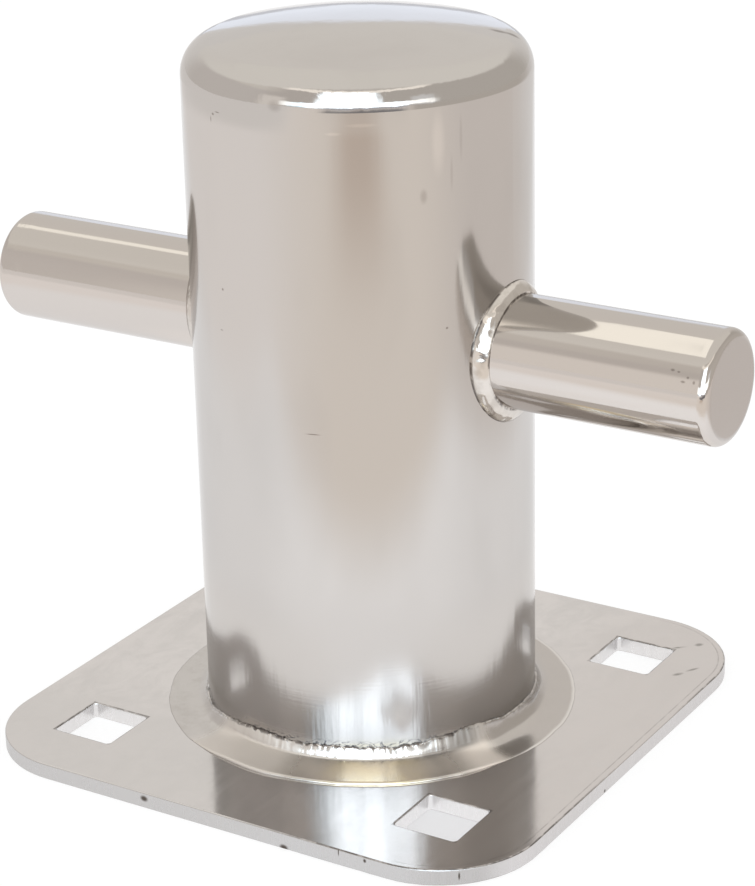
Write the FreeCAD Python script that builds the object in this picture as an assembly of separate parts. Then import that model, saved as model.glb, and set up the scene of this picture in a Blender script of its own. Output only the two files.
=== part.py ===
"""Mooring bollard with one cross bar, welded from stainless steel.

A round tube with a pressed cap stands on a square base plate. A solid bar runs
through the tube, and a weld bead joins it to the tube on each side. The origin
is the centre of the plate's underside, +X runs along the bar towards its
shorter arm, and +Z is up. All sizes are in millimetres.
"""

import math
import os

import FreeCAD
import Part
from FreeCAD import Vector

# Base plate, cut from sheet
PLATE_THICKNESS = 3.0
PLATE_CORNER_RADIUS = 18.5
PLATE_EDGE_ROUND = 0.3

# Square holes for carriage bolts, one near each corner of the plate
HOLE_SIDE = 12.0
HOLE_CORNER_RADIUS = 0.8
HOLE_TO_FOOT_WELD = 12.9
HOLE_TO_PLATE_EDGE = 17.75

# Post, a round tube that stands on the plate and carries the cap
TUBE_DIAMETER = 60.3
TUBE_WALL = 2.0
POST_HEIGHT = 126.4

# Cap, pressed from sheet of the tube's own thickness
CAP_KNUCKLE_RADIUS = 6.2
CAP_CROWN_RADIUS = 112.0
CAP_SKIRT = 7.0

# Butt seam between tube and cap, ground flush on the outside
SEAM_GAP = 1.6
SEAM_ROOT_DEPTH = 0.6
SEAM_ROOT_LAP = 0.9

# Cross bar, solid and round, set a little off centre
BAR_DIAMETER = 20.0
BAR_HEIGHT = 71.7
BAR_SHORT_ARM = 40.8
BAR_LONG_ARM = 44.2
BAR_EDGE_RADIUS = 1.8
BAR_BORE_CLEARANCE = 0.15

# Fillet weld round the post's foot, with a steep crest above a ground cone
FOOT_WELD_REACH = 7.5
FOOT_WELD_RISE = 3.5
FOOT_WELD_CREST_REACH = 1.1
FOOT_WELD_CREST_DROP = 1.75
FOOT_WELD_LIP = 0.3
FOOT_WELD_HOLLOW = 0.25
FOOT_WELD_CREST_SWELL = 0.12

# Fillet welds where the bar leaves the post
BAR_WELD_LEG = 2.0
BAR_WELD_TOE = 0.2

# Radii and heights that follow from the sizes above
POST_RADIUS = TUBE_DIAMETER / 2
POST_BORE_RADIUS = POST_RADIUS - TUBE_WALL
BAR_RADIUS = BAR_DIAMETER / 2
BAR_AXIS_Z = PLATE_THICKNESS + BAR_HEIGHT
CROWN_TOP_Z = PLATE_THICKNESS + POST_HEIGHT
CROWN_CENTRE_Z = CROWN_TOP_Z - CAP_CROWN_RADIUS
KNUCKLE_CENTRE_R = POST_RADIUS - CAP_KNUCKLE_RADIUS
CENTRE_DISTANCE = CAP_CROWN_RADIUS - CAP_KNUCKLE_RADIUS
KNUCKLE_CENTRE_Z = CROWN_CENTRE_Z + math.sqrt(CENTRE_DISTANCE**2 - KNUCKLE_CENTRE_R**2)
KNUCKLE_TURN = math.asin(KNUCKLE_CENTRE_R / CENTRE_DISTANCE)
CAP_BOTTOM_Z = KNUCKLE_CENTRE_Z - CAP_SKIRT
TUBE_TOP_Z = CAP_BOTTOM_Z - SEAM_GAP
FOOT_WELD_RADIUS = POST_RADIUS + FOOT_WELD_REACH

# The holes' centres lie on the plate's diagonals, clear of the foot weld
HOLE_OFFSET = (FOOT_WELD_RADIUS + HOLE_TO_FOOT_WELD) / math.sqrt(2)
PLATE_SIDE = 2 * (HOLE_OFFSET + HOLE_TO_PLATE_EDGE)


def line(start, end):
    return Part.LineSegment(start, end).toShape()


def arc(start, middle, end):
    return Part.Arc(start, middle, end).toShape()


def turned(edges):
    """Solid of revolution about the post's axis from a closed outline in the XZ plane."""
    face = Part.Face(Part.Wire(edges))
    return face.revolve(Vector(0, 0, 0), Vector(0, 0, 1), 360)


def rounded_square(side, corner_radius, height):
    """Upright square prism on the plane Z = 0 with rounded corners."""
    half = side / 2
    block = Part.makeBox(side, side, height, Vector(-half, -half, 0))
    uprights = [edge for edge in block.Edges if abs(edge.tangentAt(0).z) > 0.5]
    return block.makeFillet(corner_radius, uprights)


def edges_at_height(shape, z):
    """The edges of a shape that lie flat at height z."""
    flat = []
    for edge in shape.Edges:
        box = edge.BoundBox
        if abs(box.ZMin - z) < 1e-6 and abs(box.ZMax - z) < 1e-6:
            flat.append(edge)
    return flat


def hole_centres():
    signs = ((1, 1), (-1, 1), (-1, -1), (1, -1))
    return [Vector(x * HOLE_OFFSET, y * HOLE_OFFSET, 0) for x, y in signs]


def base_plate():
    """Square plate with rounded corners and four square holes, all its edges eased."""
    plate = rounded_square(PLATE_SIDE, PLATE_CORNER_RADIUS, PLATE_THICKNESS)
    for centre in hole_centres():
        hole = rounded_square(HOLE_SIDE, HOLE_CORNER_RADIUS, PLATE_THICKNESS)
        hole.translate(centre)
        plate = plate.cut(hole)
    rims = edges_at_height(plate, 0) + edges_at_height(plate, PLATE_THICKNESS)
    return plate.makeFillet(PLATE_EDGE_ROUND, rims)


def bar_cylinder(radius, start_x, end_x):
    """Cylinder about the cross bar's axis."""
    start = Vector(start_x, 0, BAR_AXIS_Z)
    return Part.makeCylinder(radius, end_x - start_x, start, Vector(1, 0, 0))


def post_tube():
    height = TUBE_TOP_Z - PLATE_THICKNESS
    foot = Vector(0, 0, PLATE_THICKNESS)
    tube = Part.makeCylinder(POST_RADIUS, height, foot)
    bore = Part.makeCylinder(POST_BORE_RADIUS, height, foot)
    bar_bore = bar_cylinder(BAR_RADIUS + BAR_BORE_CLEARANCE, -TUBE_DIAMETER, TUBE_DIAMETER)
    return tube.cut(bore).cut(bar_bore)


def knuckle_point(inset, elevation):
    """Point on the knuckle's section, at an angle above the horizontal."""
    radius = CAP_KNUCKLE_RADIUS - inset
    x = KNUCKLE_CENTRE_R + radius * math.cos(elevation)
    z = KNUCKLE_CENTRE_Z + radius * math.sin(elevation)
    return Vector(x, 0, z)


def crown_point(inset, turn):
    """Point on the crown's section, at an angle from the post's axis."""
    radius = CAP_CROWN_RADIUS - inset
    return Vector(radius * math.sin(turn), 0, CROWN_CENTRE_Z + radius * math.cos(turn))


def cap_section_edges(inset):
    """Skirt, knuckle and crown of the cap's outside, or of its inside at the given inset."""
    radius = POST_RADIUS - inset
    skirt_foot = Vector(radius, 0, CAP_BOTTOM_Z)
    skirt_head = Vector(radius, 0, KNUCKLE_CENTRE_Z)
    knuckle_end = math.pi / 2 - KNUCKLE_TURN
    meeting = crown_point(inset, KNUCKLE_TURN)
    knuckle = arc(skirt_head, knuckle_point(inset, knuckle_end / 2), meeting)
    crown = arc(meeting, crown_point(inset, KNUCKLE_TURN / 2), crown_point(inset, 0))
    return [line(skirt_foot, skirt_head), knuckle, crown]


def post_cap():
    outside = cap_section_edges(0)
    inside = cap_section_edges(TUBE_WALL)
    rim = line(Vector(POST_BORE_RADIUS, 0, CAP_BOTTOM_Z), Vector(POST_RADIUS, 0, CAP_BOTTOM_Z))
    axis = line(crown_point(0, 0), crown_point(TUBE_WALL, 0))
    return turned(outside + [axis] + inside[::-1] + [rim])


def cap_weld():
    """Ring of weld metal between tube and cap, with its root standing proud inside."""
    foot = Vector(POST_BORE_RADIUS, 0, TUBE_TOP_Z)
    head = Vector(POST_BORE_RADIUS, 0, CAP_BOTTOM_Z)
    outer_foot = Vector(POST_RADIUS, 0, TUBE_TOP_Z)
    outer_head = Vector(POST_RADIUS, 0, CAP_BOTTOM_Z)
    lap_foot = foot - Vector(0, 0, SEAM_ROOT_LAP)
    lap_head = head + Vector(0, 0, SEAM_ROOT_LAP)
    root = Vector(POST_BORE_RADIUS - SEAM_ROOT_DEPTH, 0, (TUBE_TOP_Z + CAP_BOTTOM_Z) / 2)
    edges = [
        line(outer_foot, outer_head),
        line(outer_head, head),
        line(head, lap_head),
        arc(lap_head, root, lap_foot),
        line(lap_foot, foot),
        line(foot, outer_foot),
    ]
    return turned(edges)


def cross_bar():
    start_x = -(POST_RADIUS + BAR_LONG_ARM)
    end_x = POST_RADIUS + BAR_SHORT_ARM
    bar = bar_cylinder(BAR_RADIUS, start_x, end_x)
    rims = [edge for edge in bar.Edges if isinstance(edge.Curve, Part.Circle)]
    return bar.makeFillet(BAR_EDGE_RADIUS, rims)


def bulged_arc(start, end, bulge):
    """Shallow arc that stands off the straight line between two points by the bulge."""
    along = end - start
    across = Vector(-along.z, 0, along.x).normalize()
    return arc(start, (start + end) / 2 + across * bulge, end)


def foot_weld():
    """Ring of weld metal round the post's foot."""
    corner = Vector(POST_RADIUS, 0, PLATE_THICKNESS)
    rim = corner + Vector(FOOT_WELD_REACH, 0, 0)
    lip = rim + Vector(-FOOT_WELD_LIP, 0, FOOT_WELD_LIP)
    lip_middle = rim + Vector(-FOOT_WELD_LIP, 0, 0) + Vector(1, 0, 1).normalize() * FOOT_WELD_LIP
    toe = corner + Vector(0, 0, FOOT_WELD_RISE)
    crest = toe + Vector(FOOT_WELD_CREST_REACH, 0, -FOOT_WELD_CREST_DROP)
    edges = [
        line(corner, rim),
        arc(rim, lip_middle, lip),
        bulged_arc(lip, crest, FOOT_WELD_HOLLOW),
        bulged_arc(crest, toe, -FOOT_WELD_CREST_SWELL),
        line(toe, corner),
    ]
    return turned(edges)


def on_both_skins(edge):
    """Whether an edge lies where the thickened post and the thickened bar meet."""
    span = edge.LastParameter - edge.FirstParameter
    for share in (0.0, 0.25, 0.5, 0.75, 1.0):
        point = edge.valueAt(edge.FirstParameter + share * span)
        from_post = math.hypot(point.x, point.y) - POST_RADIUS - BAR_WELD_LEG
        from_bar = math.hypot(point.y, point.z - BAR_AXIS_Z) - BAR_RADIUS - BAR_WELD_LEG
        if abs(from_post) > 1e-3 or abs(from_bar) > 1e-3:
            return False
    return True


def bar_weld():
    """Rounded bead that follows the saddle where the bar's long arm leaves the post."""
    thick_post = Part.makeCylinder(POST_RADIUS + BAR_WELD_LEG, CROWN_TOP_Z)
    thick_bar = bar_cylinder(BAR_RADIUS + BAR_WELD_LEG, -TUBE_DIAMETER, 0)
    collar = thick_bar.common(thick_post)
    saddle = [edge for edge in collar.Edges if on_both_skins(edge)]
    collar = collar.makeFillet(BAR_WELD_LEG - BAR_WELD_TOE, saddle)
    post = Part.makeCylinder(POST_RADIUS, CROWN_TOP_Z)
    bar = bar_cylinder(BAR_RADIUS, -TUBE_DIAMETER, TUBE_DIAMETER)
    return collar.cut(post).cut(bar)


def half_turned(shape):
    """The same shape on the other side of the post."""
    other = shape.copy()
    other.rotate(Vector(0, 0, 0), Vector(0, 0, 1), 180)
    return other


def main():
    os.makedirs("parts", exist_ok=True)
    left_weld = bar_weld()
    nodes = {
        "base_plate": base_plate(),
        "post_tube": post_tube(),
        "post_cap": post_cap(),
        "cap_weld": cap_weld(),
        "cross_bar": cross_bar(),
        "foot_weld": foot_weld(),
        "bar_weld_left": left_weld,
        "bar_weld_right": half_turned(left_weld),
    }
    for name, shape in nodes.items():
        shape.exportStep(f"parts/{name}.step")


main()
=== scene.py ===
import math

import bmesh
import bpy
from mathutils import Matrix, Vector


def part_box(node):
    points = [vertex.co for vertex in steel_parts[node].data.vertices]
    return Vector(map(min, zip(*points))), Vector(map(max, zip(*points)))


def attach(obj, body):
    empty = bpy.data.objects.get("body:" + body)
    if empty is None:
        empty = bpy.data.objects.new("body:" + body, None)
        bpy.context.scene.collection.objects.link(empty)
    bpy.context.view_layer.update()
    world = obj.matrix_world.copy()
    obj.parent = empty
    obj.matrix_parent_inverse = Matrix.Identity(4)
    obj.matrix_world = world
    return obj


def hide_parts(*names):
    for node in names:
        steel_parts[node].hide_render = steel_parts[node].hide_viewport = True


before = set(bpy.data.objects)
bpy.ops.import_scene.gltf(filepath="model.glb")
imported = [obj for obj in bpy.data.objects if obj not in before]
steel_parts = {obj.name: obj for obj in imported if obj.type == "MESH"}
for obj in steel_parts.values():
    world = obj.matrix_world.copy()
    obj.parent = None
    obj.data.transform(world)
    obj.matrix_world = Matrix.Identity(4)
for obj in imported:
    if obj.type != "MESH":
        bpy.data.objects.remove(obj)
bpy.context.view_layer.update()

# Base plate.
# A square of 3 mm stainless sheet, cut with rounded corners and four square bolt holes.
# Its faces keep the bright finish of the sheet, wiped with a cloth, and its cut edge is left satin.

MM = 0.001
PLATE_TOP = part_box("base_plate")[1].z
PLATE_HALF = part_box("base_plate")[1].x

SHEET_COLOUR = (0.695, 0.675, 0.67, 1.0)
# The clouded and worn colours also serve as painted shade, to the front left and to the right.
SHEET_CLOUDS_AND_SHADE = (0.625, 0.61, 0.605, 1.0)
SHEET_WORN_AND_SHADE = (0.62, 0.59, 0.58, 1.0)
CUT_EDGE_COLOUR = (0.52, 0.515, 0.515, 1.0)
# Painted shade and painted light on the cut edge, by the way it faces.
CUT_CORNER_SHADE = (0.46, 0.45, 0.445, 1.0)
CUT_SIDE_LIGHT = (0.60, 0.585, 0.585, 1.0)
HOLE_WALL_COLOUR = (0.72, 0.71, 0.71, 1.0)
# Dark broken lines round the holes, and painted shade along the rim.
EDGE_LINE_COLOUR = (0.16, 0.15, 0.145, 1.0)
NICK_COLOUR = (0.10, 0.085, 0.075, 1.0)
SCRATCH_COLOUR = (0.30, 0.29, 0.275, 1.0)
EDGE_TINT = (0.86, 0.86, 0.86, 1.0)

PLATE_CORNER = 18.5
HOLE_PLACE = 35.745
HOLE_HALF = 6.0

# Dark lines and stretches of painted shade, in mm. A pair is a soft edge, from where it starts to where it
# ends. The front corner is measured along X less Y, and the right one along X and Y together.
LINE_FROM_HOLE = 0.12
HOLE_LINE_EDGE = (0.08, 0.30)
RIM_LINE_EDGE = (0.42, 0.12)
FRONT_CORNER = (52.0, 84.0)
RIGHT_CORNER = (66.0, 86.0)
SHEAR_FROM_RIM = 1.25
SHEAR_EDGE = (0.05, 0.22)
SHEARED_TO_RIGHT = (30.0, 45.0)
# Where the painted shade on the face falls: to the front, to the left and to the right.
SHADE_TO_FRONT = (-20.0, -35.0)
SHADE_TO_LEFT = (5.0, -10.0)
SHADE_TO_RIGHT = (10.0, 45.0)

# Each nick: where it is in mm, and its half sizes along X, Y and Z in mm.
EDGE_NICKS = (
    ((-13.5, -53.5, 1.9), (1.05, 0.6, 0.75)),
    ((15.3, -53.5, 0.35), (1.15, 0.5, 0.75)),
    ((26.2, -53.5, 2.5), (0.16, 0.4, 0.95)),
    ((31.3, -53.5, 2.3), (0.40, 0.5, 0.50)),
    ((46.8, -49.2, 1.7), (0.22, 0.3, 1.00)),
    ((53.4, -10.2, 0.6), (0.50, 0.45, 0.45)),
)

# Each scratch: where it is in mm, its half sizes in mm, and its turn about Z in radians.
FACE_SCRATCHES = (
    ((42.2, 43.1, 3.0), (2.0, 0.55, 0.6), 0.75),
    ((44.9, 45.9, 3.0), (1.2, 0.85, 0.6), 0.95),
    ((46.9, 32.6, 3.0), (1.6, 0.70, 0.6), 0.95),
    ((48.4, 35.6, 3.0), (2.0, 0.50, 0.6), 1.05),
)


def add(tree, kind, inputs=(), **settings):
    """A new node. Each input gets a value, or a link where a socket is given."""
    node = tree.nodes.new(kind)
    for name, value in settings.items():
        setattr(node, name, value)
    for name, value in dict(inputs).items():
        if isinstance(value, bpy.types.NodeSocket):
            tree.links.new(value, node.inputs[name])
        else:
            node.inputs[name].default_value = value
    return node


def calc(tree, operation, *values):
    """The result of one sum on numbers or sockets."""
    return add(tree, "ShaderNodeMath", dict(enumerate(values)), operation=operation).outputs[0]


def both(tree, *shares):
    """The product of several shares."""
    result = shares[0]
    for share in shares[1:]:
        result = calc(tree, "MULTIPLY", result, share)
    return result


def apart(tree, first, second):
    """How far one number is from another."""
    return calc(tree, "ABSOLUTE", calc(tree, "SUBTRACT", first, second))


def vector(tree, operation, *values):
    """The result of one sum on vectors, which is a number for a length, a distance or a dot product."""
    node = add(tree, "ShaderNodeVectorMath", dict(enumerate(values)), operation=operation)
    is_number = operation in ("LENGTH", "DISTANCE", "DOT_PRODUCT")
    return node.outputs["Value" if is_number else "Vector"]


def parts_of(tree, place):
    """The X, Y and Z of a vector."""
    return add(tree, "ShaderNodeSeparateXYZ", {0: place}).outputs


def ease(tree, value, start, end, low=0.0, high=1.0):
    """A soft step: low before start, high after end."""
    inputs = {"Value": value, "From Min": start, "From Max": end, "To Min": low, "To Max": high}
    return add(tree, "ShaderNodeMapRange", inputs, interpolation_type="SMOOTHSTEP").outputs["Result"]


def ease_mm(tree, value, edge, low=0.0, high=1.0):
    """A soft step on a value in metres, with where it starts and ends given in mm."""
    return ease(tree, value, edge[0] * MM, edge[1] * MM, low, high)


def tint(tree, share, first, second):
    """A colour between two, by share."""
    inputs = {"Factor": share, 6: first, 7: second}
    return add(tree, "ShaderNodeMix", inputs, data_type="RGBA").outputs[2]


def blend(tree, share, first, second):
    """A number between two, by share."""
    return add(tree, "ShaderNodeMix", {"Factor": share, 2: first, 3: second}).outputs[0]


def grain(tree, place, scale, detail=3.0, roughness=0.5, distortion=0.0):
    """Smooth random variation from 0 to 1."""
    inputs = {
        "Vector": place,
        "Scale": scale,
        "Detail": detail,
        "Roughness": roughness,
        "Distortion": distortion,
    }
    return add(tree, "ShaderNodeTexNoise", inputs).outputs["Fac"]


def lines(tree, place, scale, detail, roughness, distortion=0.0, turn=0.0):
    """Smooth variation drawn out into lines, by its scale along each axis and its turn about Z."""
    inputs = {"Vector": place, "Rotation": (0, 0, turn), "Scale": scale}
    drawn_out = add(tree, "ShaderNodeMapping", inputs).outputs["Vector"]
    return grain(tree, drawn_out, 1.0, detail, roughness, distortion)


def spot(tree, place, centre, half_sizes, turn=0.0, softness=0.8):
    """1 inside a small oval at centre (mm), 0 outside."""
    inputs = {
        "Vector": place,
        "Location": [c * MM for c in centre],
        "Rotation": (0, 0, turn),
        "Scale": [s * MM for s in half_sizes],
    }
    local = add(tree, "ShaderNodeMapping", inputs, vector_type="TEXTURE").outputs["Vector"]
    return ease(tree, vector(tree, "LENGTH", local), 1.0 - softness, 1.0, 1.0, 0.0)


def cleared(owner):
    """The node tree of a material or of the world, with nothing in it."""
    owner.use_nodes = True
    owner.node_tree.nodes.clear()
    return owner.node_tree


def steel(name):
    """A material with a metal shader, and its place on the object."""
    material = bpy.data.materials.new(name)
    tree = cleared(material)
    out = add(tree, "ShaderNodeOutputMaterial")
    metal = add(tree, "ShaderNodeBsdfPrincipled", {"Metallic": 1.0, "Specular Tint": EDGE_TINT})
    tree.links.new(metal.outputs["BSDF"], out.inputs["Surface"])
    place = add(tree, "ShaderNodeTexCoord").outputs["Object"]
    return material, tree, metal, place


def bumped(tree, metal, height, depth, under=None):
    """Raises the metal by height, times depth in metres."""
    inputs = {"Height": height, "Distance": depth, "Strength": 1.0}
    if under is not None:
        inputs["Normal"] = under
    normal = add(tree, "ShaderNodeBump", inputs).outputs["Normal"]
    tree.links.new(normal, metal.inputs["Normal"])
    return normal


def from_hole(tree, place):
    """How far a point is from the middle of its bolt hole, measured square, in metres."""
    folded = vector(tree, "ABSOLUTE", place)
    away = vector(tree, "SUBTRACT", folded, (HOLE_PLACE * MM, HOLE_PLACE * MM, 0))
    sides = parts_of(tree, vector(tree, "ABSOLUTE", away))
    return calc(tree, "MAXIMUM", sides["X"], sides["Y"])


def from_rim(tree, place):
    """How far a point is inside the plate's rounded outline, whatever its height, in metres."""
    straight = PLATE_HALF - PLATE_CORNER * MM
    inner = vector(tree, "SUBTRACT", vector(tree, "ABSOLUTE", place), (straight, straight, 1))
    reach = vector(tree, "LENGTH", vector(tree, "MAXIMUM", inner, (0, 0, 0)))
    return calc(tree, "SUBTRACT", PLATE_CORNER * MM, reach)


def dark_lines(tree, place):
    """Dark broken lines round each hole, and painted shade along the rim of the front and right corners."""
    hole_line = apart(tree, from_hole(tree, place), (HOLE_HALF + LINE_FROM_HOLE) * MM)
    hole_line = ease_mm(tree, hole_line, HOLE_LINE_EDGE, 0.75, 0.0)
    inside = from_rim(tree, place)
    level = parts_of(tree, place)
    front_corner = ease_mm(tree, calc(tree, "SUBTRACT", level["X"], level["Y"]), FRONT_CORNER)
    right_corner = ease_mm(tree, calc(tree, "ADD", level["X"], level["Y"]), RIGHT_CORNER, 0.0, 0.8)
    corners = calc(tree, "MAXIMUM", front_corner, right_corner)
    # Painted shade along the rim of the front and right corners.
    rim_line = both(tree, ease_mm(tree, inside, RIM_LINE_EDGE), corners)
    sheared = ease_mm(tree, apart(tree, inside, SHEAR_FROM_RIM * MM), SHEAR_EDGE, 0.3, 0.0)
    sheared = both(tree, sheared, ease_mm(tree, level["X"], SHEARED_TO_RIGHT))
    line = calc(tree, "MAXIMUM", hole_line, calc(tree, "MAXIMUM", rim_line, sheared))
    broken = grain(tree, place, 380.0, 4.0, 0.65)
    return both(tree, line, ease(tree, broken, 0.36, 0.58, 0.25, 1.0))


def sheet_face(tree, place):
    """The bright face: clouded and smeared, painted shade front left and right, its scratches and dark lines.
    """
    level = parts_of(tree, place)
    clouds = lines(tree, place, (150, 85, 150), 6.0, 0.68, 0.5, turn=0.5)
    colour = tint(tree, ease(tree, clouds, 0.36, 0.66, 0.0, 0.85), SHEET_COLOUR, SHEET_CLOUDS_AND_SHADE)
    # Painted shade: darker to the front left and to the right.
    front_left_shade = both(tree, ease_mm(tree, level["Y"], SHADE_TO_FRONT), ease_mm(tree, level["X"], SHADE_TO_LEFT))
    colour = tint(tree, calc(tree, "MULTIPLY", front_left_shade, 0.7), colour, SHEET_CLOUDS_AND_SHADE)
    colour = tint(tree, ease_mm(tree, level["X"], SHADE_TO_RIGHT, 0.0, 0.75), colour, SHEET_WORN_AND_SHADE)
    smeared = grain(tree, place, 260.0, 3.0, 0.6, 0.4)
    colour = tint(tree, ease(tree, smeared, 0.5, 0.72, 0.0, 0.45), colour, SHEET_CLOUDS_AND_SHADE)
    broken = ease(tree, smeared, 0.35, 0.55, 0.35, 0.9)
    for centre, half_sizes, turn in FACE_SCRATCHES:
        scratch = both(tree, spot(tree, place, centre, half_sizes, turn), broken)
        colour = tint(tree, scratch, colour, SCRATCH_COLOUR)
    return tint(tree, dark_lines(tree, place), colour, EDGE_LINE_COLOUR)


def sheet_edge(tree, place, facing, cut_lines):
    """Satin cut edge: painted shade at corners, painted light facing right, pale on the walls of the bolt
    holes.
    """
    # Painted shade where the edge turns round a corner, and painted light where it faces right.
    colour = tint(tree, ease(tree, facing["X"], 0.1, 0.55), CUT_EDGE_COLOUR, CUT_CORNER_SHADE)
    colour = tint(tree, ease(tree, facing["X"], 0.75, 0.95), colour, CUT_SIDE_LIGHT)
    colour = tint(tree, calc(tree, "MULTIPLY", cut_lines, 0.2), colour, SHEET_WORN_AND_SHADE)
    in_hole = ease_mm(tree, from_hole(tree, place), (HOLE_HALF + 0.6, HOLE_HALF + 0.3))
    return tint(tree, in_hole, colour, HOLE_WALL_COLOUR)


def bright_sheet():
    """The plate's material: bright on its faces, satin on its cut edge."""
    material, tree, metal, place = steel("bright_rolled_sheet")
    facing = parts_of(tree, add(tree, "ShaderNodeNewGeometry").outputs["Normal"])
    cut_edge = ease(tree, calc(tree, "ABSOLUTE", facing["Z"]), 0.35, 0.75, 1.0, 0.0)
    cut_lines = lines(tree, place, (900, 900, 90), 3.0, 0.6)
    colour = tint(tree, cut_edge, sheet_face(tree, place), sheet_edge(tree, place, facing, cut_lines))
    nicked = 0.0
    for centre, half_sizes in EDGE_NICKS:
        nicked = calc(tree, "MAXIMUM", nicked, spot(tree, place, centre, half_sizes, softness=0.7))
    tree.links.new(tint(tree, nicked, colour, NICK_COLOUR), metal.inputs["Base Color"])

    wiped = lines(tree, place, (500, 28, 500), 5.0, 0.65, turn=0.9)
    face_rough = ease(tree, wiped, 0.3, 0.75, 0.10, 0.16)
    edge_rough = ease(tree, cut_lines, 0.3, 0.7, 0.24, 0.34)
    tree.links.new(blend(tree, cut_edge, face_rough, edge_rough), metal.inputs["Roughness"])
    waves = bumped(tree, metal, grain(tree, place, 55.0, 2.0, 0.4), 0.09 * MM)
    bumped(tree, metal, cut_lines, 0.0025 * MM, waves)
    return material


def finish_node(node, material):
    """Puts the material on every slot of a CAD node."""
    for slot in steel_parts[node].material_slots:
        slot.material = material


finish_node("base_plate", bright_sheet())

# Post.
# A round stainless tube stands on the plate, closed by a pressed cap that is butt welded on and ground flush.
# Both are polished along the post, so the mirror has fine upright streaks, and a few handling marks.
# Painted highlights, painted shade and painted dark reflections are laid over the steel.

POST_COLOUR = (0.585, 0.56, 0.54, 1.0)
POST_DULL = (0.55, 0.525, 0.505, 1.0)
POST_FOOT = (0.56, 0.535, 0.515, 1.0)
# Painted shade on the post near the foot weld's toe, strongest to the right.
POST_TOE_SHADE = (0.43, 0.41, 0.395, 1.0)
# The colour of marks, and of painted shade.
MARK_AND_SHADE_COLOUR = (0.22, 0.19, 0.17, 1.0)
# The colour of painted highlights.
PAINTED_HIGHLIGHT_COLOUR = (0.88, 0.83, 0.78, 1.0)
# The colour of dark lines painted where the post mirrors the foot weld.
WELD_REFLECTION_PAINT = (0.12, 0.12, 0.14, 1.0)

# Level directions: to the window, to the right of it, and to the side where the foot weld is roughest.
WINDOW_SIDE = (0.528, -0.849)
RIGHT_SIDE = (0.849, 0.528)
ROUGH_SIDE = (0.38, -0.925)

# Each mark, painted highlight or patch of painted shade: where it is in mm, its half sizes in mm, and its
# turn about Z in radians.
POST_MARKS = (
    ((7.8, -29.1, 65.0), (1.75, 0.6, 0.16), 0.26),
    ((-9.8, -28.5, 87.7), (0.38, 0.5, 0.34), 0.0),
    ((-10.5, -28.2, 80.3), (0.50, 0.5, 0.14), 0.0),
    ((-9.3, -28.7, 118.35), (0.95, 0.5, 0.16), 0.0),
    ((-10.4, -28.3, 117.85), (0.45, 0.5, 0.30), 0.0),
    ((-11.0, -28.1, 116.9), (0.18, 0.5, 0.70), 0.0),
    ((26.0, -15.3, 82.6), (0.30, 0.4, 0.30), 0.0),
)
# Soft dark patches of painted shade.
POST_PAINTED_SHADE = (
    ((23.8, -18.5, 105.8), (0.9, 0.9, 1.7), 0.4),
    ((2.9, -29.9, 121.1), (1.7, 0.9, 1.3), 0.0),
)
CAP_MARKS = (
    ((21.7, 10.7, 126.8), (2.4, 1.1, 1.2), 0.42),
    ((23.7, 11.8, 126.1), (2.2, 1.1, 1.3), 0.50),
)
# Light streaks painted as highlights.
POST_PAINTED_HIGHLIGHTS = (
    ((16.4, -25.3, 118.4), (3.4, 0.6, 0.45), 0.557),
    ((12.4, -27.5, 117.0), (1.7, 0.5, 0.40), 0.42),
    ((25.4, -16.3, 114.5), (1.6, 0.7, 7.0), 1.01),
)
# Dark upright streaks painted as reflections in the mirror.
UPRIGHT_PAINTED_STREAKS = (
    ((27.4, -12.5, 114.8), (0.45, 0.5, 5.0), 1.14),
    ((26.6, -14.2, 109.0), (0.40, 0.5, 4.0), 1.08),
)

# Each kind of mark, painted highlight and painted shade: where they are, how strong they are, and their
# colour.
OVERLAY_KINDS = (
    (POST_PAINTED_HIGHLIGHTS, 0.25, PAINTED_HIGHLIGHT_COLOUR),
    (UPRIGHT_PAINTED_STREAKS, 0.15, MARK_AND_SHADE_COLOUR),
    (POST_MARKS, 0.75, MARK_AND_SHADE_COLOUR),
    (POST_PAINTED_SHADE, 0.3, MARK_AND_SHADE_COLOUR),
    (CAP_MARKS, 1.0, MARK_AND_SHADE_COLOUR),
)

# Heights, and reaches along a level direction, in mm. A pair is a soft edge.
DULL_FOOT_TOP = (38.0, 28.0)
WORKED_FOOT_TOP = (34.0, 14.0)
TOE_TOP = (14.0, 5.0)
TOE_TO_RIGHT = (-24.0, -8.0)
# Where the foot weld's reflection is painted on the post.
WELD_REFLECTION_HEIGHTS = ((6.0, 6.3), (7.9, 7.2))
WELD_REFLECTION_REACH = (23.5, 26.5)
BUFFED_FROM = (114.0, 119.0)
SKIRT_HEIGHTS = (116.0, 123.0)
SKIRT_TO_RIGHT = (5.0, 25.0)
SKIRT_TO_LEFT = (-8.0, -20.0)
KNUCKLE_HEIGHTS = ((120.5, 122.0), (125.2, 124.0))
KNUCKLE_REACH = (18.0, 25.0)
FOOT_ROUGHNESS = 0.21
CAP_ROUGHNESS = 0.07


def towards(tree, place, direction):
    """How far a point lies along a level direction from the post's axis."""
    return vector(tree, "DOT_PRODUCT", place, (*direction, 0))


def within_mm(tree, value, rise, fall):
    """1 between two soft edges given in mm, 0 outside them."""
    return both(tree, ease_mm(tree, value, rise), ease_mm(tree, value, fall))


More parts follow.
